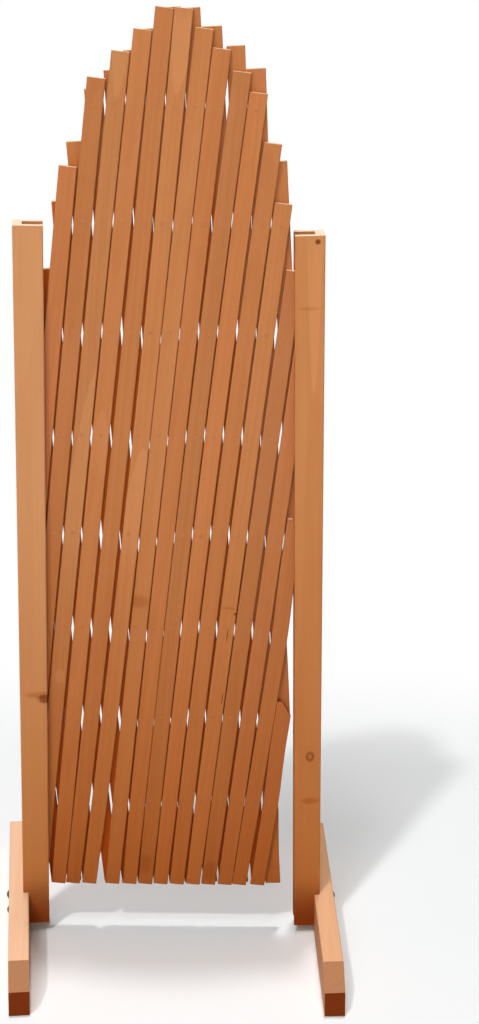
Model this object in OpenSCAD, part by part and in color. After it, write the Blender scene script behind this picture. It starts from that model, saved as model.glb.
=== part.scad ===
// Expanding trellis fence panel that stands on two footed posts, drawn folded.
// X runs along the fence, the front faces -Y, Z is up and the ground is Z = 0.
// Sixteen front slats lean right and sixteen back slats lean left. Nails join them
// where they cross, so the panel opens like lazy tongs between the two posts.

/* [Slats] */
// Width of a slat across its face
slat_width = 17; // [14:0.1:24]
// Thickness of a slat
slat_thickness = 4.5; // [3:0.1:8]
// Chamfer on the long edges of a slat
slat_edge = 0.7; // [0.2:0.1:1.2]
// Distance between two neighbouring nails along a slat
nail_spacing = 108; // [85:1:130]
// Gap of light between two neighbouring slats while the fence is folded
slat_gap = 1.8; // [0.5:0.1:6]
// Play between the front and the back layer of slats
layer_gap = 0.3; // [0.1:0.1:1]
// How far a slat's square end runs past its lowest nail
slat_tail = 7; // [4:0.5:12]
// How far the inner edge of a slat runs on past its nail inside a post
channel_tail = 20; // [10:1:30]
// Lean of the slats from upright with the fence fully open, in degrees
open_angle = 35; // [20:1:42]
// Height of the lowest row of nails above the ground
trellis_lift = 64.5; // [62:0.5:120]

/* [Posts] */
// Wall of a post in front of its channel, and behind it
post_wall = 6.3; // [4:0.1:14]
// Back of a post, from the channel's floor to the outer face
post_back = 9.2; // [7:0.1:20]
// Distance from the channel's mouth to the pin that holds the trellis
pin_inset = 10; // [6:0.5:20]
// Play between a slat's edge and the channel's floor
floor_play = 0.9; // [0.6:0.1:3]
// Play between the nail heads and the sides of the channel, where it is least
side_play = 0.25; // [0.1:0.05:1.5]
// Height of a post above its pin
post_head = 103.5; // [60:0.5:200]
// Height of a post's lower end above the ground
post_lift = 12; // [4:0.5:20]
// Chamfer on a post's upright edges
post_edge = 1; // [0.3:0.1:2]
// How far the right post stands out of upright while the fence is folded, in degrees
right_lean = 3; // [0:0.1:3.5]
// How far the left post is turned about its length, front end inwards, in degrees
left_turn = 5; // [0:0.5:6]

/* [Feet] */
// Length of a foot from front to back
foot_length = 303; // [200:1:500]
// Width of a foot
foot_width = 22; // [16:0.5:36]
// Height of a foot
foot_height = 54; // [44:0.5:60]
// Slanted cut at each upper end of a foot
foot_bevel = 23; // [10:0.5:36]
// Chamfer on a foot's long upper edges
foot_edge = 1; // [0.3:0.1:2]
// Width of the post's shoulder that rests on the foot
shoulder = 6; // [2:0.5:6.5]

/* [Nails, pins and bolts] */
// Radius of a nail's shank
nail_radius = 1.1; // [0.8:0.05:1.6]
// Radius of a nail's head
nail_head_radius = 1.9; // [1.7:0.05:2.6]
// How far a nail's head and its clinched end stand proud of the slats
nail_proud = 0.4; // [0.2:0.05:0.6]
// Radius of the pin that holds the trellis in a post
pin_radius = 1.6; // [1.2:0.1:2.2]
// Depth of the pin's blind hole in the post's front wall
pin_bite = 4.5; // [2:0.5:6]
// Radius of a bolt's shank
bolt_radius = 2.5; // [2:0.1:3]
// Radius of a bolt's domed head
bolt_head_radius = 5; // [4:0.1:7]
// Height of a bolt's domed head
bolt_head_height = 2.6; // [1.5:0.1:4]
// Height between a foot's two bolts
bolt_step = 21; // [14:0.5:24]
// Width of a nut across its flats
nut_flats = 8; // [7:0.1:9]
// Thickness of a nut
nut_thickness = 4; // [3:0.1:5]

/* [Hidden] */
$fn = 48;

slats = 16;                // in each layer
columns = 2 * (slats - 2); // steps of half a slat spacing from post to post
pin_row = 6;               // the row of nails at which the posts hold the trellis
running = 0.08;            // play all round a nail or pin that a slat turns on
snug = 0.03;               // play all round a nail in the slat that it turns with
seat = 0.1;                // play behind a nail's clinched end, and round a bolt

// A slat's lean while folded puts the neighbours one width and one gap apart
fold_angle = asin((slat_width + slat_gap) / nail_spacing) / 2;
column_step = nail_spacing * sin(fold_angle);
row_step = nail_spacing * cos(fold_angle);
pin_x = columns * column_step / 2;
pin_z = trellis_lift + pin_row * row_step;
lattice_half = slat_thickness + layer_gap / 2;

// A post seen from above, with the pin at the origin and outwards along +X. The
// channel has room for the trellis in the turned post too.
channel_half = (lattice_half + nail_proud + side_play) * cos(left_turn)
    + pin_inset * sin(left_turn);
post_half = channel_half + post_wall;
floor_x = (slat_width / 2 + floor_play) * cos(left_turn) + lattice_half * sin(left_turn);
post_x = floor_x + post_back;
foot_x = post_x - shoulder;
foot_far = foot_x + foot_width;
bolt_heights = [for (s = [-1, 1]) (post_lift + foot_height + s * bolt_step) / 2];

// The leaning post sinks until the foot's inner edge stands on the ground
function lean(side) = side > 0 ? right_lean : 0;
function turn(side) = side > 0 ? 0 : left_turn;
function drop(side) = foot_x * sin(lean(side)) + pin_z * (1 - cos(lean(side)));
left_reach = pin_x + max(foot_far + bolt_head_height,
    foot_far * cos(left_turn) + foot_length / 2 * sin(left_turn));
right_reach = pin_x + (foot_far + bolt_head_height) * cos(right_lean)
    + (pin_z - bolt_heights[0]) * sin(right_lean);
front_reach = foot_length / 2 * cos(left_turn) + foot_far * sin(left_turn);
centre = [(left_reach - right_reach) / 2, (front_reach - foot_length / 2) / 2, 0];

// Where each front slat is cut, in rows above the lowest nails. The steps give
// the panel its arched top. The last three end inside the right post.
top_rows = [7.5, 8.27, 8.47, 8.64, 8.82, 8.82, 8.64, 8.46, 8.29, 8.13, 7.68, 7.16, 6.55];
function lowest_row(i) = max(0, 2 * (3 - i));
function ends_in_post(i) = i > len(top_rows);
function highest_row(i) = ends_in_post(i) ? 2 * (slats + 1 - i) : top_rows[i - 1];

// Nails stand where front slat i crosses back slat i + row - 3
function nail_rows(i) = [
    for (row = [lowest_row(i):floor(highest_row(i))])
        let (back = i + row - 3)
        if (back >= 1 && back <= slats && highest_row(slats + 1 - back) >= row) row
];
function pinned(i) = ends_in_post(i) && highest_row(i) == pin_row;
function two_digits(i) = str(i < 10 ? "0" : "", i);
slat_names = [for (layer = ["front_slat_", "back_slat_"]) for (i = [1:slats])
    str(layer, two_digits(i))];
nail_names = [for (i = [1:slats]) str("nails_", two_digits(i))];

// Places a piece that is drawn about the lattice's middle line into the frame
module in_frame() {
    translate(centre) children();
}

// Turns a slat's own axis, drawn upright from its row 0, into its lean
module along_slat(i) {
    translate([(2 * (i - 3) - columns / 2) * column_step, 0, trellis_lift])
        rotate([0, fold_angle, 0]) children();
}

// Takes away what would pass the channel's floor with the fence fully open
module channel_cut(row, side) {
    reach = slat_width + channel_tail;
    translate([0, -1, row * nail_spacing]) rotate([0, -open_angle, 0])
        translate([side > 0 ? slat_width / 2 + floor_play / 2
                            : -slat_width / 2 - floor_play / 2 - reach,
                   0, -2 * reach])
        cube([reach, slat_thickness + 2, 4 * reach]);
}

// One front slat, upright, with its back face on Y = slat_thickness
module slat(i, play) {
    half = slat_width / 2;
    e = slat_edge;
    t = slat_thickness;
    low = lowest_row(i) * nail_spacing - (i < 3 ? channel_tail : slat_tail);
    high = highest_row(i) * nail_spacing + (ends_in_post(i) ? channel_tail : 0);
    difference() {
        translate([0, 0, low]) linear_extrude(high - low)
            polygon([[-half + e, 0], [half - e, 0], [half, e], [half, t - e],
                     [half - e, t], [-half + e, t], [-half, t - e], [-half, e]]);
        for (row = nail_rows(i)) bore(row, nail_radius + play);
        if (pinned(i)) bore(pin_row, pin_radius + running);
        if (ends_in_post(i)) channel_cut(highest_row(i), 1);
        if (i <= 3) channel_cut(lowest_row(i), -1);
    }
}

module bore(row, radius) {
    translate([0, -1, row * nail_spacing]) rotate([-90, 0, 0])
        cylinder(h = slat_thickness + 2, r = radius);
}

module front_slat(i) {
    color("peru") in_frame() translate([0, -lattice_half, 0])
        along_slat(i) slat(i, snug);
}

// The back layer is the front layer's mirror image. A back slat is bored where
// the front slats' nails pass through it.
module back_slat(i) {
    color("sienna") in_frame() translate([0, lattice_half, 0])
        mirror([1, 0, 0]) mirror([0, 1, 0])
        along_slat(slats + 1 - i) slat(slats + 1 - i, running);
}

// A nail drawn along +Z: its head below the front face, its clinched end behind
module nail() {
    depth = 2 * lattice_half + seat;
    ease = nail_proud / 2;
    rotate_extrude() polygon([
        [0, -nail_proud], [nail_head_radius - ease, -nail_proud],
        [nail_head_radius, -nail_proud + ease], [nail_head_radius, 0],
        [nail_radius, 0], [nail_radius, depth],
        [nail_head_radius - ease, depth], [nail_head_radius - ease, depth + ease],
        [nail_head_radius - 2 * ease, depth + nail_proud], [0, depth + nail_proud]]);
}

module nails(i) {
    color("dimgray") in_frame() translate([0, -lattice_half, 0]) along_slat(i)
        for (row = nail_rows(i))
            translate([0, 0, row * nail_spacing]) rotate([-90, 0, 0]) nail();
}

// Stands a right-hand post, drawn about its pin, at one end of the trellis
module stand(side) {
    translate([0, 0, pin_z - drop(side)]) mirror([side > 0 ? 0 : 1, 0, 0])
        translate([pin_x, 0, 0]) rotate([0, -lean(side), 0]) rotate([0, 0, -turn(side)])
            children();
}

module pin_hole(side) {
    translate([side * pin_x, -channel_half - pin_bite, pin_z]) rotate([-90, 0, 0])
        cylinder(h = 2 * post_half, r = pin_radius + snug);
}

module bolt_holes() {
    for (z = bolt_heights)
        translate([floor_x - 1, 0, z - pin_z]) rotate([0, 90, 0])
            cylinder(h = foot_far - floor_x + 2, r = bolt_radius + seat);
}

// The post's section is a square bar grooved down its inner side
module post_section() {
    e = post_edge;
    x = [-pin_inset, post_x];
    y = post_half;
    difference() {
        polygon([[x[0] + e, -y], [x[1] - e, -y], [x[1], -y + e], [x[1], y - e],
                 [x[1] - e, y], [x[0] + e, y], [x[0], y - e], [x[0], -y + e]]);
        translate([-pin_inset - 1, -channel_half])
            square([pin_inset + 1 + floor_x, 2 * channel_half]);
    }
}

module post(side) {
    color("tan") in_frame() difference() {
        stand(side) difference() {
            translate([0, 0, post_lift - pin_z])
                linear_extrude(pin_z - post_lift + post_head) post_section();
            // The notch leaves a shoulder that rests on the foot
            translate([foot_x, -post_half - 1, -pin_z])
                cube([shoulder + 1, 2 * post_half + 2, foot_height]);
            bolt_holes();
        }
        pin_hole(side);
    }
}

// The side outline with its slanted ends, crossed with a section with eased edges
module foot_body() {
    y = foot_length / 2;
    b = foot_bevel;
    e = foot_edge;
    intersection() {
        rotate([90, 0, 90]) linear_extrude(foot_width)
            polygon([[-y, 0], [y, 0], [y, foot_height - b], [y - b, foot_height],
                     [-y + b, foot_height], [-y, foot_height - b]]);
        translate([0, y + 1, 0]) rotate([90, 0, 0]) linear_extrude(foot_length + 2)
            polygon([[0, 0], [foot_width, 0], [foot_width, foot_height - e],
                     [foot_width - e, foot_height], [e, foot_height],
                     [0, foot_height - e]]);
    }
}

module foot(side) {
    color("peachpuff") in_frame() stand(side) difference() {
        translate([foot_x, 0, -pin_z]) foot_body();
        bolt_holes();
    }
}

// A domed bolt from outside the foot into the post's channel
module bolts(side) {
    dome = (pow(bolt_head_radius, 2) + pow(bolt_head_height, 2)) / (2 * bolt_head_height);
    color("dimgray") in_frame() stand(side) for (z = bolt_heights)
        translate([0, 0, z - pin_z]) rotate([0, 90, 0]) {
            translate([0, 0, floor_x - nut_thickness - 1])
                cylinder(h = foot_far - floor_x + nut_thickness + 1, r = bolt_radius);
            translate([0, 0, foot_far]) intersection() {
                translate([0, 0, bolt_head_height - dome]) sphere(r = dome);
                cylinder(h = bolt_head_height + 1, r = bolt_head_radius);
            }
        }
}

module nuts(side) {
    color("dimgray") in_frame() stand(side) for (z = bolt_heights)
        translate([floor_x - nut_thickness, 0, z - pin_z]) rotate([0, 90, 0])
            difference() {
                cylinder(h = nut_thickness, r = nut_flats / sqrt(3), $fn = 6);
                translate([0, 0, -1])
                    cylinder(h = nut_thickness + 2, r = bolt_radius + snug);
            }
}

// The pin goes in from behind, so that only its head shows there
module pin(side) {
    head_radius = 2 * pin_radius;
    back = (post_half + head_radius * sin(turn(side))) / cos(turn(side));
    length = back + channel_half + pin_bite - seat;
    color("dimgray") in_frame()
        translate([side * pin_x, back - length, pin_z]) rotate([-90, 0, 0]) {
            cylinder(h = length, r = pin_radius);
            translate([0, 0, length]) cylinder(h = nail_proud, r = head_radius);
        }
}

post(-1);  // left_post
post(1);  // right_post
foot(-1);  // left_foot
foot(1);  // right_foot
bolts(-1);  // left_foot_bolts
bolts(1);  // right_foot_bolts
nuts(-1);  // left_foot_nuts
nuts(1);  // right_foot_nuts
pin(-1);  // left_pin
pin(1);  // right_pin
for (i = [1:slats]) {
    front_slat(i);
    back_slat(i);
    nails(i);
}
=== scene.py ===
import math
import random

import bpy
from mathutils import Matrix, Vector


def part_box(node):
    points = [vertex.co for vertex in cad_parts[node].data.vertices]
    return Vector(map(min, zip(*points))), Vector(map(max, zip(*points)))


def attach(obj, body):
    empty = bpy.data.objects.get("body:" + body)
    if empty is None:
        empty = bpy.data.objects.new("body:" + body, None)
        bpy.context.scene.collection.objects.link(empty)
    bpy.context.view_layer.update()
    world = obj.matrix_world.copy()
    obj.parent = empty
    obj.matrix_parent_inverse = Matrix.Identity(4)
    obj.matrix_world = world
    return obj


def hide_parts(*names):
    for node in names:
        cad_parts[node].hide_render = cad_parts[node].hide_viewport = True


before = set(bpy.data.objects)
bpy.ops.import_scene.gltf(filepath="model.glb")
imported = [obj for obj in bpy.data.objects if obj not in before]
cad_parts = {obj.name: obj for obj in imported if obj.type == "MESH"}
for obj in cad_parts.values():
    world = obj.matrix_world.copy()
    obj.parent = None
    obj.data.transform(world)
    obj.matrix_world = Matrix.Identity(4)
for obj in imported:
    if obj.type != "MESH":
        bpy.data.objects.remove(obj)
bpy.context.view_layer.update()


def centre(node):
    """The middle of the box round a CAD node."""
    low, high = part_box(node)
    return (Vector(low) + Vector(high)) / 2


# The folded trellis, in metres and radians. Neighbouring slats stand one width and one gap
# apart, which gives them their lean: the front ones lean to the right, the back ones to the
# left. The posts hold the trellis by a pin at each end.
SLATS = 16
SLAT_WIDTH = 0.017
SLAT_GAP = 0.0018
NAIL_SPACING = 0.108
LEAN = math.asin((SLAT_WIDTH + SLAT_GAP) / NAIL_SPACING) / 2
COLUMN_STEP = NAIL_SPACING * math.sin(LEAN)
PIN_COLUMN = SLATS - 2
TRELLIS_LIFT = 0.0645
POST_LEAN = math.radians(3.0)
POST_TURN = math.radians(5.0)
LAYERS = {"front_slat_": 1, "back_slat_": -1}
MIDDLE = Vector((
    (centre("left_pin").x + centre("right_pin").x) / 2,
    (centre("front_slat_01").y + centre("back_slat_01").y) / 2,
    TRELLIS_LIFT))


def slat_foot(layer, number):
    """Where a slat's middle line meets the lowest row of nails."""
    if LAYERS[layer] > 0:
        column = 2 * (number - 3) - PIN_COLUMN
    else:
        column = 2 * (number - PIN_COLUMN) + PIN_COLUMN
    return MIDDLE + Vector((column * COLUMN_STEP, 0.0, 0.0))


# The thin slats are not quite straight. For each one: how far its foot, its waist and
# its head stand to the right of their places, and how much longer its head is, in mm.
MILLIMETRE = 0.001
FRONT_BOWS = {
    1: (0.0, 0.0, 2.0, -3.0), 2: (-0.5, 0.0, 1.5, -4.5), 3: (-0.5, 0.0, 2.5, -2.0),
    4: (2.5, 0.0, 1.5, -0.5), 5: (0.0, 1.5, 0.0, 0.0), 6: (-0.5, 3.0, -1.5, 0.0),
    7: (6.5, 2.0, 0.0, 2.5), 8: (7.0, 1.0, -1.0, 4.5), 9: (6.0, 0.0, 2.0, 3.0),
    10: (4.5, -0.5, 0.5, 2.0), 11: (4.0, -0.5, 1.5, 5.0), 12: (3.5, 0.0, -1.0, 5.0),
    13: (2.0, 0.0, 1.5, 6.0), 14: (2.0, 0.5, -2.0, 0.0), 15: (-0.5, 2.5, -0.5, 0.0),
    16: (1.5, 3.0, -0.5, 0.0)}
BACK_BOWS = {
    1: (1.5, 0.0, 0.0, 0.0), 2: (0.5, -0.5, 0.5, 0.0), 3: (-1.0, -1.5, 1.0, 0.0),
    4: (5.0, -1.0, 3.5, 0.0), 5: (6.0, -1.0, 2.0, 0.0), 6: (5.0, 0.5, 0.0, 0.0),
    7: (4.0, 0.0, 2.5, 0.0), 8: (3.0, 0.5, 3.0, 0.0), 9: (1.5, 0.0, 3.0, 0.0),
    10: (4.0, 0.0, 2.0, 0.0), 11: (3.0, 0.0, 2.0, 0.0), 12: (1.5, 0.0, 1.0, 0.0),
    13: (2.0, 0.0, 0.5, 4.0), 14: (3.5, 0.0, 3.0, 6.0), 15: (2.0, -1.0, 2.0, 8.0),
    16: (2.0, 2.5, -2.5, 7.0)}
BOWS = {"front_slat_": FRONT_BOWS, "back_slat_": BACK_BOWS}
WAIST_ROW = 4.4

# Their feet are a little shorter and narrower, and some heads of the back layer wider
SHORTER_FOOT = 0.0035
NARROWER_FOOT = 0.0012
FOOT_ROWS = (0.0, 0.8)
HEAD_ROWS = (6.0, 7.4)
WIDER_HEADS = {
    "back_slat_08": 0.0010, "back_slat_09": 0.0005, "back_slat_10": 0.0010,
    "back_slat_11": 0.0010, "back_slat_12": 0.0005, "back_slat_13": 0.0015,
    "back_slat_15": 0.0010}

# The row at which a slat runs in the groove of a post, where it must lie true, and how
# many rows away it begins to bend and bends in full
FRONT_HELD = {1: 4, 2: 2, 3: 0, 14: 6, 15: 4, 16: 2}
BACK_HELD = {1: 2, 2: 4, 3: 6, 14: 0, 15: 2, 16: 4}
HELD = {"front_slat_": FRONT_HELD, "back_slat_": BACK_HELD}
HELD_REACH = (0.35, 1.15)

# The rows in which a slat is cut across so that it can bend, and where in each row. A strip
# either side of its middle line stays still for the nails, the next strip gives way more and
# more, and the edges move in full.
BENT_ROWS = range(-1, 10)
CUTS = (0.15, 0.38, 0.62, 0.85)
STILL_STRIP = 0.0015
YIELDING_STRIP = 0.0062

# How near a point is to a slat's end, to another point or to a cut to count as on it
END_FACE = 0.001
WELD = 0.00002
ON_CUT = 0.000001


def smooth(value, low, high):
    """0 below low, 1 above high and smooth between."""
    part = min(1.0, max(0.0, (value - low) / (high - low)))
    return part * part * (3.0 - 2.0 * part)


def aside(bow, row):
    """How far a bowed slat stands to the right at a row, in metres."""
    t = row / WAIST_ROW - 1.0
    foot, waist, head = bow[:3]
    shift = foot * t * (t - 1.0) / 2.0 + waist * (1.0 - t * t) + head * t * (t + 1.0) / 2.0
    return shift * MILLIMETRE


def wider(name, row):
    """How much wider than in CAD a slat is at a row, in metres. Below 0 it is narrower."""
    head = WIDER_HEADS.get(name, 0.0) * smooth(row, *HEAD_ROWS)
    return head - NARROWER_FOOT * (1.0 - smooth(row, *FOOT_ROWS))


def cut_across(slat, foot, along):
    """Merges the loose triangles of a slat and cuts it across between its nails."""
    bpy.ops.object.select_all(action="DESELECT")
    slat.select_set(True)
    bpy.context.view_layer.objects.active = slat
    bpy.ops.object.mode_set(mode="EDIT")
    bpy.ops.mesh.select_all(action="SELECT")
    bpy.ops.mesh.remove_doubles(threshold=WELD)
    for row in BENT_ROWS:
        for part in CUTS:
            place = foot + along * (row + part) * NAIL_SPACING
            bpy.ops.mesh.select_all(action="SELECT")
            bpy.ops.mesh.bisect(plane_co=place, plane_no=along, threshold=ON_CUT)
    bpy.ops.object.mode_set(mode="OBJECT")
    slat.select_set(False)


def bow_slat(layer, number):
    """Bends a copy of a CAD slat sideways a little. Its nail holes stay where they are."""
    name = f"{layer}{number:02d}"
    bow = BOWS[layer][number]
    held_row = HELD[layer].get(number)
    foot = slat_foot(layer, number)
    side = LAYERS[layer]
    along = Vector((math.sin(LEAN) * side, 0.0, math.cos(LEAN)))
    across = Vector((math.cos(LEAN), 0.0, -math.sin(LEAN) * side))
    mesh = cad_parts[name].data.copy()
    mesh.name = f"{name}_bowed"
    slat = bpy.data.objects.new(f"{name}_bowed", mesh)
    bpy.context.scene.collection.objects.link(slat)
    cut_across(slat, foot, along)
    reaches = [(point.co - foot).dot(along) for point in mesh.vertices]
    bottom = min(reaches)
    top = max(reaches)
    for point, reach in zip(mesh.vertices, reaches):
        row = reach / NAIL_SPACING
        off = (point.co - foot).dot(across)
        loose = min(1.0, max(0.0, (abs(off) - STILL_STRIP) / YIELDING_STRIP))
        if held_row is not None:
            loose *= smooth(abs(row - held_row), *HELD_REACH)
        outwards = wider(name, row) / 2.0 * math.copysign(1.0, off)
        point.co.x += (aside(bow, row) + outwards) * loose
        if reach > top - END_FACE:
            point.co += along * bow[3] * MILLIMETRE
        if reach < bottom + END_FACE:
            point.co += along * SHORTER_FOOT
    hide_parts(name)
    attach(slat, name)
    return slat


class Signal:
    """One output of a shader node. Sums and products of signals add Math nodes."""

    def __init__(self, shades, socket):
        self.shades = shades
        self.socket = socket

    def _math(self, operation, first, second):
        return self.shades.node("ShaderNodeMath", {"operation": operation}, {0: first, 1: second})

    def __add__(self, other):
        return self._math("ADD", self, other)

    def __radd__(self, other):
        return self._math("ADD", other, self)

    def __sub__(self, other):
        return self._math("SUBTRACT", self, other)

    def __rsub__(self, other):
        return self._math("SUBTRACT", other, self)

    def __mul__(self, other):
        return self._math("MULTIPLY", self, other)

    def __rmul__(self, other):
        return self._math("MULTIPLY", other, self)

    def __truediv__(self, other):
        return self._math("DIVIDE", self, other)

    def __pow__(self, other):
        return self._math("POWER", self, other)

    def __abs__(self):
        return self._math("ABSOLUTE", self, 0.0)


class Shades:
    """The nodes of a finish or of the sky."""

    def __init__(self, tree):
        self.tree = tree
        self.tree.nodes.clear()

    def node(self, kind, settings=None, sockets=None, output=0):
        """Adds a node: its settings first, then the values or links of its sockets."""
        made = self.tree.nodes.new(kind)
        for name, value in (settings or {}).items():
            setattr(made, name, value)
        for key, value in (sockets or {}).items():
            self.feed(made.inputs[key], value)
        return Signal(self, made.outputs[output]) if made.outputs else made

    def feed(self, socket, value):
        """Links a signal to a socket, or sets the socket to a value."""
        if isinstance(value, Signal):
            self.tree.links.new(value.socket, socket)
        elif socket.type == "VECTOR":
            socket.default_value = tuple(value)[:3]
        else:
            socket.default_value = value

    def ease(self, value, low, high):
        """0 below low, 1 above high and smooth between."""
        return self.node("ShaderNodeMapRange", {"interpolation_type": "SMOOTHSTEP"}, {
            0: value, 1: low, 2: high, 3: 0.0, 4: 1.0})

    def seen_or_mirrored(self):
        """1 for what the camera sees, directly or in a gloss, and 0 for the light itself."""
        path = self.tree.nodes.new("ShaderNodeLightPath")
        names = ("Is Camera Ray", "Is Glossy Ray", "Is Transmission Ray")
        camera_ray, glossy_ray, clear_ray = (Signal(self, path.outputs[name]) for name in names)
        return camera_ray + glossy_ray + clear_ray


class Finish(Shades):
    """A material and the few things that its pattern is built from."""

    def __init__(self, name, roughness, specular, metallic=0.0):
        self.material = bpy.data.materials.new(name)
        self.material.use_nodes = True
        super().__init__(self.material.node_tree)
        self.output = self.tree.nodes.new("ShaderNodeOutputMaterial")
        self.shader = self.tree.nodes.new("ShaderNodeBsdfPrincipled")
        self.shader.inputs["Roughness"].default_value = roughness
        self.shader.inputs["Metallic"].default_value = metallic
        self.shader.inputs["Specular IOR Level"].default_value = specular
        self.tree.links.new(self.shader.outputs[0], self.output.inputs[0])

    def here(self):
        """A point's place in the frame, in metres."""
        return self.node("ShaderNodeTexCoord", output="Object")

    def split(self, vector):
        """The three parts of a vector."""
        made = self.tree.nodes.new("ShaderNodeSeparateXYZ")
        self.feed(made.inputs[0], vector)
        return [Signal(self, made.outputs[k]) for k in range(3)]

    def noise(self, place, scale, detail, roughness=0.5):
        return self.node("ShaderNodeTexNoise", {}, {
            "Vector": place, "Scale": scale, "Detail": detail, "Roughness": roughness})

    def fibrous(self, place, across, along, detail, roughness=0.5):
        """Noise drawn out along the grain, with so many waves a metre across and along it."""
        stretched = self.node("ShaderNodeVectorMath", {"operation": "MULTIPLY"}, {
            0: place, 1: (across, across, along)})
        return self.noise(stretched, 1.0, detail, roughness)

    def blend(self, factor, first, second):
        """A colour between two colours."""
        return self.node("ShaderNodeMix", {"data_type": "RGBA", "clamp_factor": True}, {
            0: factor, 6: first, 7: second}, output=2)

    def tint(self, colour, value):
        """A colour made lighter or darker by a number."""
        return self.node("ShaderNodeVectorMath", {"operation": "SCALE"}, {0: colour, "Scale": value})

    def stain(self, colour, factor, coat):
        """Lays a see-through coat over a colour where the factor is high."""
        coated = self.node("ShaderNodeVectorMath", {"operation": "MULTIPLY"}, {0: colour, 1: coat})
        return self.blend(factor, colour, coated)

    def near_ground(self, height):
        """Painted shade: 1 at the ground, fading upwards."""
        return 1.0 - self.ease(height, *LOW_SHADE_HEIGHTS)

    def bump(self, height, strength, depth):
        return self.node("ShaderNodeBump", {}, {
            "Height": height, "Strength": strength, "Distance": depth})


def srgb(red, green, blue):
    """A colour as it is seen, from 0 to 255, in the shader's own numbers."""
    def one(part):
        part /= 255.0
        return part / 12.92 if part <= 0.04045 else ((part + 0.055) / 1.055) ** 2.4
    return (one(red), one(green), one(blue), 1.0)


def tuned(colour, red, green, blue):
    """A colour with each of its parts multiplied, none above 1."""
    factors = (red, green, blue)
    return tuple(min(1.0, part * factor) for part, factor in zip(colour, factors)) + (1.0,)


def toned(colour, light, faded):
    """A slat's own tone of a colour. Above 1, light makes it lighter and faded less red."""
    return tuned(colour, light, light * faded, light * faded ** 1.6)


def knot_marks(finish, across, along, knots):
    """How far knots push the growth rings aside, and how dark they are."""
    push = 0.0
    dark = 0.0
    for knot_x, knot_z, size in knots:
        dx = across - knot_x
        dz = (along - knot_z) * 0.8
        off = (dx * dx + dz * dz) ** 0.5
        push = push + (1.0 - finish.ease(off, 0.0, size * 4.0)) * 0.009
        ring = finish.ease(off, size * 0.3, size * 0.8) \
            * (1.0 - finish.ease(off, size * 0.85, size * 1.6))
        core = (1.0 - finish.ease(off, size * 0.3, size * 0.8)) * 0.3
        dark = dark + ring + core
    return push, dark


def patch_marks(finish, across, along, fibres, patches):
    """Darker or paler patches with a frayed edge."""
    amount = 0.0
    for x, z, half_width, half_length, strength in patches:
        wide = (across - x) / half_width
        long = (along - z) / half_length
        off = (wide * wide + long * long) ** 0.5 + (fibres - 0.5) * 0.6
        amount = amount + (1.0 - finish.ease(off, 0.4, 1.1)) * strength
    return amount


def tongue_marks(finish, across, along, tongues):
    """Pale tongues of grain, with a round tip at their place. Below 0 a length points down."""
    amount = 0.0
    for x, z, half_width, length, strength in tongues:
        wing = (across - x) / half_width
        inside = finish.ease((along - z) / length - wing * wing, 0.0, 0.12)
        fade = 1.0 - finish.ease((along - z) / length, 1.2, 2.6)
        amount = amount + inside * fade * strength
    return amount


# Heights between which a painted shade fades, in metres, and how squarely a face must look
# in a direction, as the part of its normal along it
# Painted shade: pieces grow darker and redder towards the ground, standing in for light that falls
# off low down
LOW_SHADE_HEIGHTS = (-0.05, 0.66)
# Painted shade right at the ground, where the posts stand in shade beside their feet
HEEL_SHADE_HEIGHTS = (0.015, 0.085)
# Painted shade on the back layer where the front layer covers it, up to this height
COVERED_SHADE_HEIGHTS = (0.82, 0.9)
NARROW_SIDE = (0.78, 0.95)
BACK_FACE = (0.2, 0.6)
SAWN_FACE = (0.5, 0.7)
SQUARE_END = (0.85, 0.97)
# The colour by which the painted shade towards the ground multiplies the slats
SLAT_LOW_PAINTED_SHADE = (0.73, 0.52, 0.26)
# The slats' narrow sides: partly stain that they drank, partly painted shade of the gaps between
# them
SLAT_EDGE_STAIN_AND_SHADE = (0.5, 0.22, 0.08)
SOAKED_COAT = (0.45, 0.3, 0.22)


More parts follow.
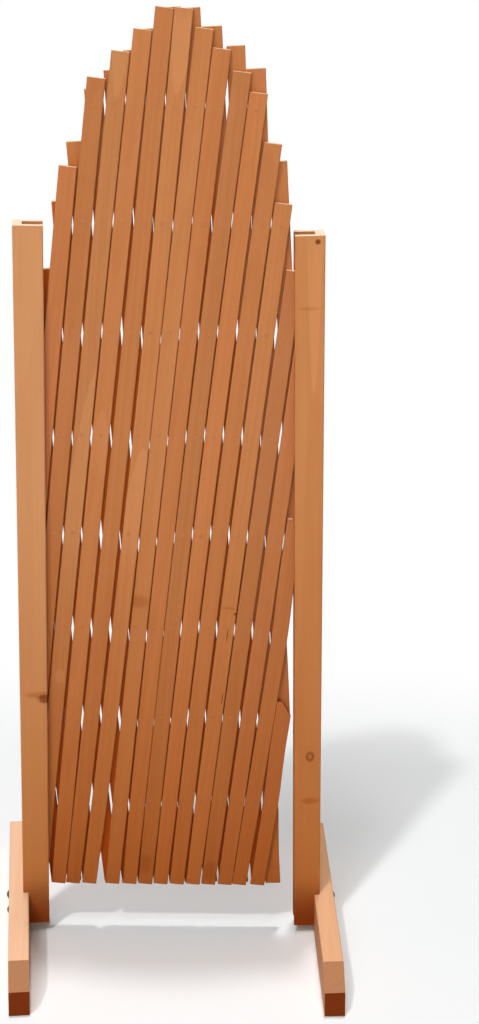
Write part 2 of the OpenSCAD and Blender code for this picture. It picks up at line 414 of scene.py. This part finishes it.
def stained_wood(name, place, turn, pale, deep, cut, seed, rings, pith, taper,
                 end_cut=None, knots=(), patches=(), tongues=(), low_painted_shade=SLAT_LOW_PAINTED_SHADE,
                 edge_stain_and_shade=SLAT_EDGE_STAIN_AND_SHADE, heel_painted_shade=None, covered_painted_shade=None):
    """Stained softwood whose grain runs along the piece's own Z.

    place and turn say where the piece's own axes stand. pale and deep are the early and
    the late wood, cut is the colour where the saw went across the grain and end_cut that
    of an end cut quite square. rings is the width of a growth ring, pith the middle of the
    tree (across, behind) and taper how fast the rings run out. low_painted_shade is a painted shade
    that darkens the piece towards the ground, heel_painted_shade a painted shade right at it,
    edge_stain_and_shade the colour of the narrow sides, partly stain that they drank and partly
    painted shade of the gaps, and covered_painted_shade a painted shade under the front layer.
    Knots, patches and tongues start with their place (across, along). A knot adds its
    radius, a patch its half width, half length and strength (below 0 it is paler), a
    tongue its half width, length and strength.
    """
    finish = Finish(name, roughness=0.68, specular=0.05)
    draw = random.Random(seed)
    here = finish.here()
    height = finish.split(here)[2]
    own = finish.node("ShaderNodeMapping", {"vector_type": "TEXTURE"}, {
        "Vector": here, "Location": tuple(place), "Rotation": tuple(turn)})
    across, depth, along = finish.split(own)

    # Growth rings round a pith that lies beside the piece, wandering along its length
    shift = (draw.uniform(0, 9), draw.uniform(0, 9), draw.uniform(0, 9))
    moved = finish.node("ShaderNodeVectorMath", {"operation": "ADD"}, {0: own, 1: shift})
    slow = finish.fibrous(moved, 14.0, 1.6, 1.0)
    side = across - pith[0]
    away = depth - pith[1]
    radius = (side * side + away * away) ** 0.5
    push, knot_dark = knot_marks(finish, across, along, knots)
    reach = radius + along * taper + (slow - 0.5) * 0.03 + push
    part = finish.node("ShaderNodeMath", {"operation": "FRACT"}, {0: reach / rings})
    late = finish.ease(part, 0.1, 0.9) * (1.0 - finish.ease(part, 0.94, 1.0))

    # Fibres, streaks and the blotches of the stain
    fibres = finish.fibrous(moved, 900.0, 14.0, 2.0, 0.6)
    streaks = finish.fibrous(moved, 150.0, 2.2, 2.0, 0.6)
    blotch = finish.fibrous(moved, 24.0, 5.0, 3.0, 0.55)
    amount = late * 0.14 + (streaks - 0.5) * 0.5 + (fibres - 0.5) * 0.2 + (blotch - 0.5) * 0.5 + 0.4
    amount = amount + patch_marks(finish, across, along, fibres, patches)
    amount = amount - tongue_marks(finish, across, along, tongues)
    wood = finish.blend(amount, pale, deep)
    wood = finish.stain(wood, finish.ease(amount, 1.0, 2.4), SOAKED_COAT)
    wood = finish.blend(finish.ease(slow, 0.5, 0.75) * 0.35, wood, tuned(deep, 1.08, 1.12, 1.6))
    # Painted shade, darker towards the ground
    wood = finish.stain(wood, finish.near_ground(height), low_painted_shade)
    # Painted shade at the foot of a post
    if heel_painted_shade is not None:
        wood = finish.stain(wood, 1.0 - finish.ease(height, *HEEL_SHADE_HEIGHTS), heel_painted_shade)

    # The narrow sides are darker, partly from stain that they drank and partly as painted shade
    # of the gaps, and the sawn ends took the stain in another way
    facing = finish.node("ShaderNodeTexCoord", output="Normal")
    turned = finish.node("ShaderNodeMapping", {"vector_type": "TEXTURE"}, {
        "Vector": facing, "Rotation": tuple(turn)})
    sideways, backwards, upwards = finish.split(turned)
    # Painted shade on the back layer under the front one, on all but its back faces
    if covered_painted_shade is not None:
        low = 1.0 - finish.ease(height, *COVERED_SHADE_HEIGHTS)
        hidden = 1.0 - finish.ease(backwards, *BACK_FACE)
        wood = finish.stain(wood, low * hidden, covered_painted_shade)
    # Darker narrow sides: partly stain, partly painted shade
    wood = finish.stain(wood, finish.ease(abs(sideways), *NARROW_SIDE), edge_stain_and_shade)
    ends = abs(upwards)
    sawn = finish.ease(ends, *SAWN_FACE)
    mottle = 0.98 + late * 0.04 - (fibres - 0.5) * 0.25
    wood = finish.blend(sawn, wood, finish.tint(cut, mottle))
    if end_cut is not None:
        square = finish.ease(ends, *SQUARE_END)
        wood = finish.blend(square, wood, finish.tint(end_cut, mottle))
    if knots:
        wood = finish.blend(knot_dark * 0.8, wood, tuned(deep, 0.42, 0.3, 0.25))

    finish.feed(finish.shader.inputs["Base Color"], wood)
    roughness = 0.58 + late * 0.06 + (fibres - 0.5) * 0.2 + sawn * 0.2
    finish.feed(finish.shader.inputs["Roughness"], roughness)
    relief = late * 0.3 + fibres * 0.7 + streaks * 0.3
    finish.feed(finish.shader.inputs["Normal"], finish.bump(relief, 0.25, 0.0002))
    return finish.material


def dull_metal(name, dark, bright, roughness, metallic, low_painted_shade=None):
    """Dull metal with a mottled skin. low_painted_shade is a painted shade on the nails towards the
    ground.
    """
    finish = Finish(name, roughness, 0.2, metallic)
    here = finish.here()
    mottle = finish.noise(here, 900.0, 4.0, 0.65)
    skin = finish.blend(finish.ease(mottle, 0.3, 0.7), dark, bright)
    # Painted shade, darker towards the ground, as on the slats
    if low_painted_shade is not None:
        skin = finish.stain(skin, finish.near_ground(finish.split(here)[2]), low_painted_shade)
    finish.feed(finish.shader.inputs["Base Color"], skin)
    finish.feed(finish.shader.inputs["Roughness"], roughness + (mottle - 0.5) * 0.3)
    finish.feed(finish.shader.inputs["Normal"], finish.bump(mottle, 0.2, 0.0001))
    return finish.material


def dress(piece, material):
    """Gives a piece its finish."""
    if not piece.material_slots:
        piece.data.materials.append(material)
    for slot in piece.material_slots:
        slot.material = material


# The slats. Stain and timber differ from slat to slat.
SLAT_PALE = srgb(217, 141, 88)
SLAT_DEEP = srgb(198, 119, 65)
SLAT_SAWN = srgb(232, 200, 164)
# The top end of front slat 16 is painted dark, not sawn pale: a painted shadow where its end lies in
# shade
PAINTED_SHADOW_END = srgb(160, 86, 42)
SLAT_ENDS_PAINTED_IN_SHADOW = ("front_slat_16",)
# The colour of the painted shade on the back slats under the front layer
COVERED_PAINTED_SHADE = (0.95, 0.58, 0.22)
COVERED_SLATS = range(1, 14)
BACK_LIGHT = 1.03
LIGHT_SLATS = (1, 4, 6, 7, 8, 10, 12)
MORE_LIGHT = 0.06
FADED_SLATS = (3, 6, 7)
MORE_FADED = 0.07
FLAT_SAWN_SHARE = 0.45
SLAT_TONGUES = {
    "front_slat_03": ((0.002, 0.868, 0.008, 0.050, 0.5), (0.009, 0.615, 0.016, -0.110, 0.5)),
    "front_slat_04": ((-0.001, 0.568, 0.008, -0.030, 0.3),),
    "front_slat_06": ((0.000, 0.876, 0.008, 0.032, 1.7), (0.006, 0.530, 0.012, -0.060, 0.5))}
SLAT_PATCHES = {
    "front_slat_03": ((0.001, 0.264, 0.007, 0.010, -0.5),),
    "front_slat_07": ((0.000, 0.355, 0.016, 0.009, 0.75),),
    "front_slat_09": ((0.003, 0.024, 0.012, 0.016, 0.6),),
    "front_slat_12": ((0.000, 0.349, 0.010, 0.0018, 0.7), (0.0079, 0.343, 0.0016, 0.0022, 2.0),
                      (0.003, 0.317, 0.0008, 0.0090, 1.6), (0.007, 0.240, 0.0008, 0.0100, 1.6)),
    "front_slat_13": ((0.003, 0.014, 0.012, 0.016, 0.7),)}


def slat_wood(layer, number, tones):
    """The finish of one slat, from its own draws of tone and grain."""
    name = f"{layer}{number:02d}"
    light = tones.uniform(0.93, 1.0)
    faded = tones.uniform(0.95, 1.03)
    in_front = LAYERS[layer] > 0
    if not in_front:
        light *= BACK_LIGHT
    elif number in LIGHT_SLATS:
        light += MORE_LIGHT
    if in_front and number in FADED_SLATS:
        faded += MORE_FADED
    if tones.random() < FLAT_SAWN_SHARE:
        pith = (tones.uniform(-0.012, 0.012), tones.uniform(0.015, 0.04))
    else:
        pith = (tones.uniform(0.03, 0.09) * tones.choice((-1, 1)), tones.uniform(0.01, 0.06))
    rings = tones.uniform(0.004, 0.008)
    taper = tones.uniform(0.012, 0.03) * tones.choice((-1, 1))
    covered = not in_front and number in COVERED_SLATS
    return stained_wood(
        f"{name}_stained_fir", slat_foot(layer, number), (0.0, LAYERS[layer] * LEAN, 0.0),
        toned(SLAT_PALE, light, faded), toned(SLAT_DEEP, light, faded),
        PAINTED_SHADOW_END if name in SLAT_ENDS_PAINTED_IN_SHADOW else SLAT_SAWN, name, rings, pith, taper,
        patches=SLAT_PATCHES.get(name, ()), tongues=SLAT_TONGUES.get(name, ()),
        covered_painted_shade=COVERED_PAINTED_SHADE if covered else None)


tones = random.Random(7)
for layer in LAYERS:
    for number in range(1, SLATS + 1):
        wood = slat_wood(layer, number, tones)
        dress(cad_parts[f"{layer}{number:02d}"], wood)
        dress(bow_slat(layer, number), wood)

# The posts
POST_SAWN = srgb(244, 222, 194)
# The painted shade at the posts' heels
POST_HEEL_PAINTED_SHADE = (0.5, 0.28, 0.12)
# The posts' narrow sides, partly stain and partly painted shade
POST_EDGE_STAIN_AND_SHADE = (0.7, 0.55, 0.45)
# Each post's low_painted_shade is its painted shade towards the ground
POSTS = {
    "left": {
        "turn": (0.0, 0.0, POST_TURN), "pale": srgb(234, 168, 116), "deep": srgb(216, 143, 90),
        "pith": (0.004, 0.06), "low_painted_shade": (0.74, 0.56, 0.33),
        "patches": ((0.0030, -0.4015, 0.020, 0.0050, 1.0), (0.0070, -0.4070, 0.0085, 0.0065, 1.6))},
    "right": {
        "turn": (0.0, -POST_LEAN, 0.0), "pale": srgb(223, 151, 94), "deep": srgb(204, 126, 70),
        "pith": (0.006, 0.045), "low_painted_shade": (0.79, 0.63, 0.41),
        "knots": ((0.0069, -0.474, 0.0040),),
        "patches": ((0.0116, 0.096, 0.0030, 0.0032, 3.0), (0.0043, 0.0305, 0.014, 0.0020, 0.6),
                    (0.0072, -0.531, 0.013, 0.0050, 0.9)),
        "tongues": ((0.0087, -0.060, 0.0060, 0.090, 0.4),)}}
for side, wood in POSTS.items():
    pin = centre(f"{side}_pin")
    dress(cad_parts[f"{side}_post"], stained_wood(
        f"{side}_post_stained_fir", (pin.x, MIDDLE.y, pin.z), cut=POST_SAWN, seed=f"{side} post",
        rings=0.009, taper=0.012, heel_painted_shade=POST_HEEL_PAINTED_SHADE, edge_stain_and_shade=POST_EDGE_STAIN_AND_SHADE, **wood))

# Their feet, which lie from front to back
LYING = -math.pi / 2
FOOT_SLANT = srgb(177, 123, 86)
FOOT_END = srgb(130, 54, 15)
# The feet's narrow sides, partly stain and partly painted shade
FOOT_EDGE_STAIN_AND_SHADE = (0.8, 0.66, 0.55)
NO_COAT = (1.0, 1.0, 1.0)
FEET = {
    "left": {
        "turn": (LYING, 0.0, POST_TURN),
        "pale": srgb(236, 194, 160), "deep": srgb(222, 173, 135)},
    "right": {
        "turn": (LYING, -POST_LEAN, 0.0),
        "pale": srgb(226, 177, 137), "deep": srgb(208, 151, 109)}}
for side, wood in FEET.items():
    dress(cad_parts[f"{side}_foot"], stained_wood(
        f"{side}_foot_stained_fir", centre(f"{side}_foot"), cut=FOOT_SLANT, end_cut=FOOT_END,
        seed=f"{side} foot", rings=0.007, pith=(0.03, 0.07), taper=0.02,
        low_painted_shade=NO_COAT, edge_stain_and_shade=FOOT_EDGE_STAIN_AND_SHADE, **wood))

# Nails and pins went through the stain with the slats and take their painted shade towards
# the ground. The bolts are dark.
stained_nail = dull_metal(
    "stained_nail", srgb(192, 118, 68), srgb(216, 140, 87), 0.7, 0.0, SLAT_LOW_PAINTED_SHADE)
dark_bolt = dull_metal("dark_bolt", srgb(40, 34, 31), srgb(88, 80, 74), 0.4, 0.8)
for number in range(1, SLATS + 1):
    dress(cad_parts[f"nails_{number:02d}"], stained_nail)
for side in ("left", "right"):
    dress(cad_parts[f"{side}_pin"], stained_nail)
    dress(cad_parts[f"{side}_foot_bolts"], dark_bolt)
    dress(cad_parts[f"{side}_foot_nuts"], dark_bolt)

# The studio: a pale floor that turns white behind the fence and all around, suns and a
# soft light. The floor lies just under the feet.
WHITE = (1.0, 1.0, 1.0, 1.0)
PALE_FLOOR = (0.81, 0.825, 0.83, 1.0)
FLOOR_SIZE = 60.0
FLOOR_DROP = 0.0002
FLOOR_CENTRE = (0.12, 0.1, 0.0)
WHITE_BEHIND = (0.3, 0.65)
WHITE_AROUND = (1.1, 2.0)
SKY_LIGHT = 0.04


def studio_floor():
    bpy.ops.object.select_all(action="DESELECT")
    bpy.ops.mesh.primitive_plane_add(size=FLOOR_SIZE, location=(0.0, 0.0, -FLOOR_DROP))
    floor = bpy.context.object
    floor.name = "studio_floor"
    finish = Finish("pale_floor", roughness=0.9, specular=0.1)
    finish.shader.inputs["Base Color"].default_value = PALE_FLOOR
    here = finish.here()
    away = finish.node("ShaderNodeVectorMath", {"operation": "DISTANCE"}, {
        0: here, 1: FLOOR_CENTRE}, output=1)
    behind = finish.ease(finish.split(here)[1], *WHITE_BEHIND)
    far = finish.ease(away, *WHITE_AROUND)
    pale = Signal(finish, finish.shader.outputs[0])
    white = finish.node("ShaderNodeEmission", {}, {"Color": WHITE, "Strength": 1.0})
    mixed = finish.node("ShaderNodeMixShader", {}, {
        0: (behind + far) * finish.seen_or_mirrored(), 1: pale, 2: white})
    finish.feed(finish.output.inputs[0], mixed)
    floor.data.materials.append(finish.material)


def studio_sky():
    world = bpy.data.worlds.new("white_studio")
    bpy.context.scene.world = world
    world.use_nodes = True
    sky = Shades(world.node_tree)
    light = sky.node("ShaderNodeBackground", {}, {"Color": WHITE, "Strength": SKY_LIGHT})
    white = sky.node("ShaderNodeBackground", {}, {"Color": WHITE, "Strength": 1.0})
    mixed = sky.node("ShaderNodeMixShader", {}, {0: sky.seen_or_mirrored(), 1: light, 2: white})
    sky.node("ShaderNodeOutputWorld", {}, {0: mixed})


def place_lamp(name, data, place, toward):
    lamp = bpy.data.objects.new(name, data)
    bpy.context.scene.collection.objects.link(lamp)
    lamp.location = place
    lamp.rotation_euler = (Vector(toward) - Vector(place)).to_track_quat("-Z", "Y").to_euler()


def sun(name, place, strength, spread):
    """A sun seen from the origin in the direction of a place. spread is in degrees."""
    data = bpy.data.lights.new(name, "SUN")
    data.energy = strength
    data.angle = math.radians(spread)
    place_lamp(name, data, place, (0.0, 0.0, 0.0))


def softbox(name, place, toward, power, width):
    """A round soft light, with its power in watts."""
    data = bpy.data.lights.new(name, "AREA")
    data.energy = power
    data.shape = "DISK"
    data.size = width
    place_lamp(name, data, place, toward)


studio_floor()
studio_sky()
sun("high_sun", (-0.99, -1.32, 3.0), 1.0, 3.0)
sun("middle_sun", (-0.6, -0.81, 3.0), 0.4, 7.0)
sun("steep_sun", (-0.14, -0.2, 3.0), 0.2, 7.0)
sun("upright_sun", (-0.03, 0.06, 3.0), 0.4, 20.0)
sun("overhead_sun", (-0.06, 0.27, 3.0), 1.25, 4.0)
softbox("front_softbox", (-0.4, -1.8, 1.5), (0.0, 0.0, 0.75), 10.0, 1.0)

# The camera stands in front, a little above the fence's top, and looks down. Its focal
# length and the image's height are in pixels of the photograph, its angles in degrees.
CAMERA_PLACE = (-0.017866, -1.488149, 1.161460)
CAMERA_YAW = -3.115
CAMERA_PITCH = -23.255
CAMERA_ROLL = -2.484
FOCAL_PIXELS = 1583.59
IMAGE_HEIGHT = 1024.0
SENSOR_HEIGHT = 36.0
camera_data = bpy.data.cameras.new("front_camera")
camera = bpy.data.objects.new("front_camera", camera_data)
bpy.context.scene.collection.objects.link(camera)
bpy.context.scene.camera = camera
camera_data.sensor_fit = "VERTICAL"
camera_data.sensor_height = SENSOR_HEIGHT
camera_data.lens = SENSOR_HEIGHT * FOCAL_PIXELS / IMAGE_HEIGHT
camera_data.clip_end = 200.0
aim = (Matrix.Rotation(math.radians(CAMERA_YAW), 3, "Z")
       @ Matrix.Rotation(math.radians(CAMERA_PITCH), 3, "X")
       @ Matrix.Rotation(math.radians(CAMERA_ROLL), 3, "Y"))
right, ahead, up = (aim.col[k] for k in range(3))
turned_camera = Matrix((right, up, -ahead)).transposed().to_4x4()
camera.matrix_world = Matrix.Translation(CAMERA_PLACE) @ turned_camera

bpy.context.scene.view_settings.view_transform = "Standard"
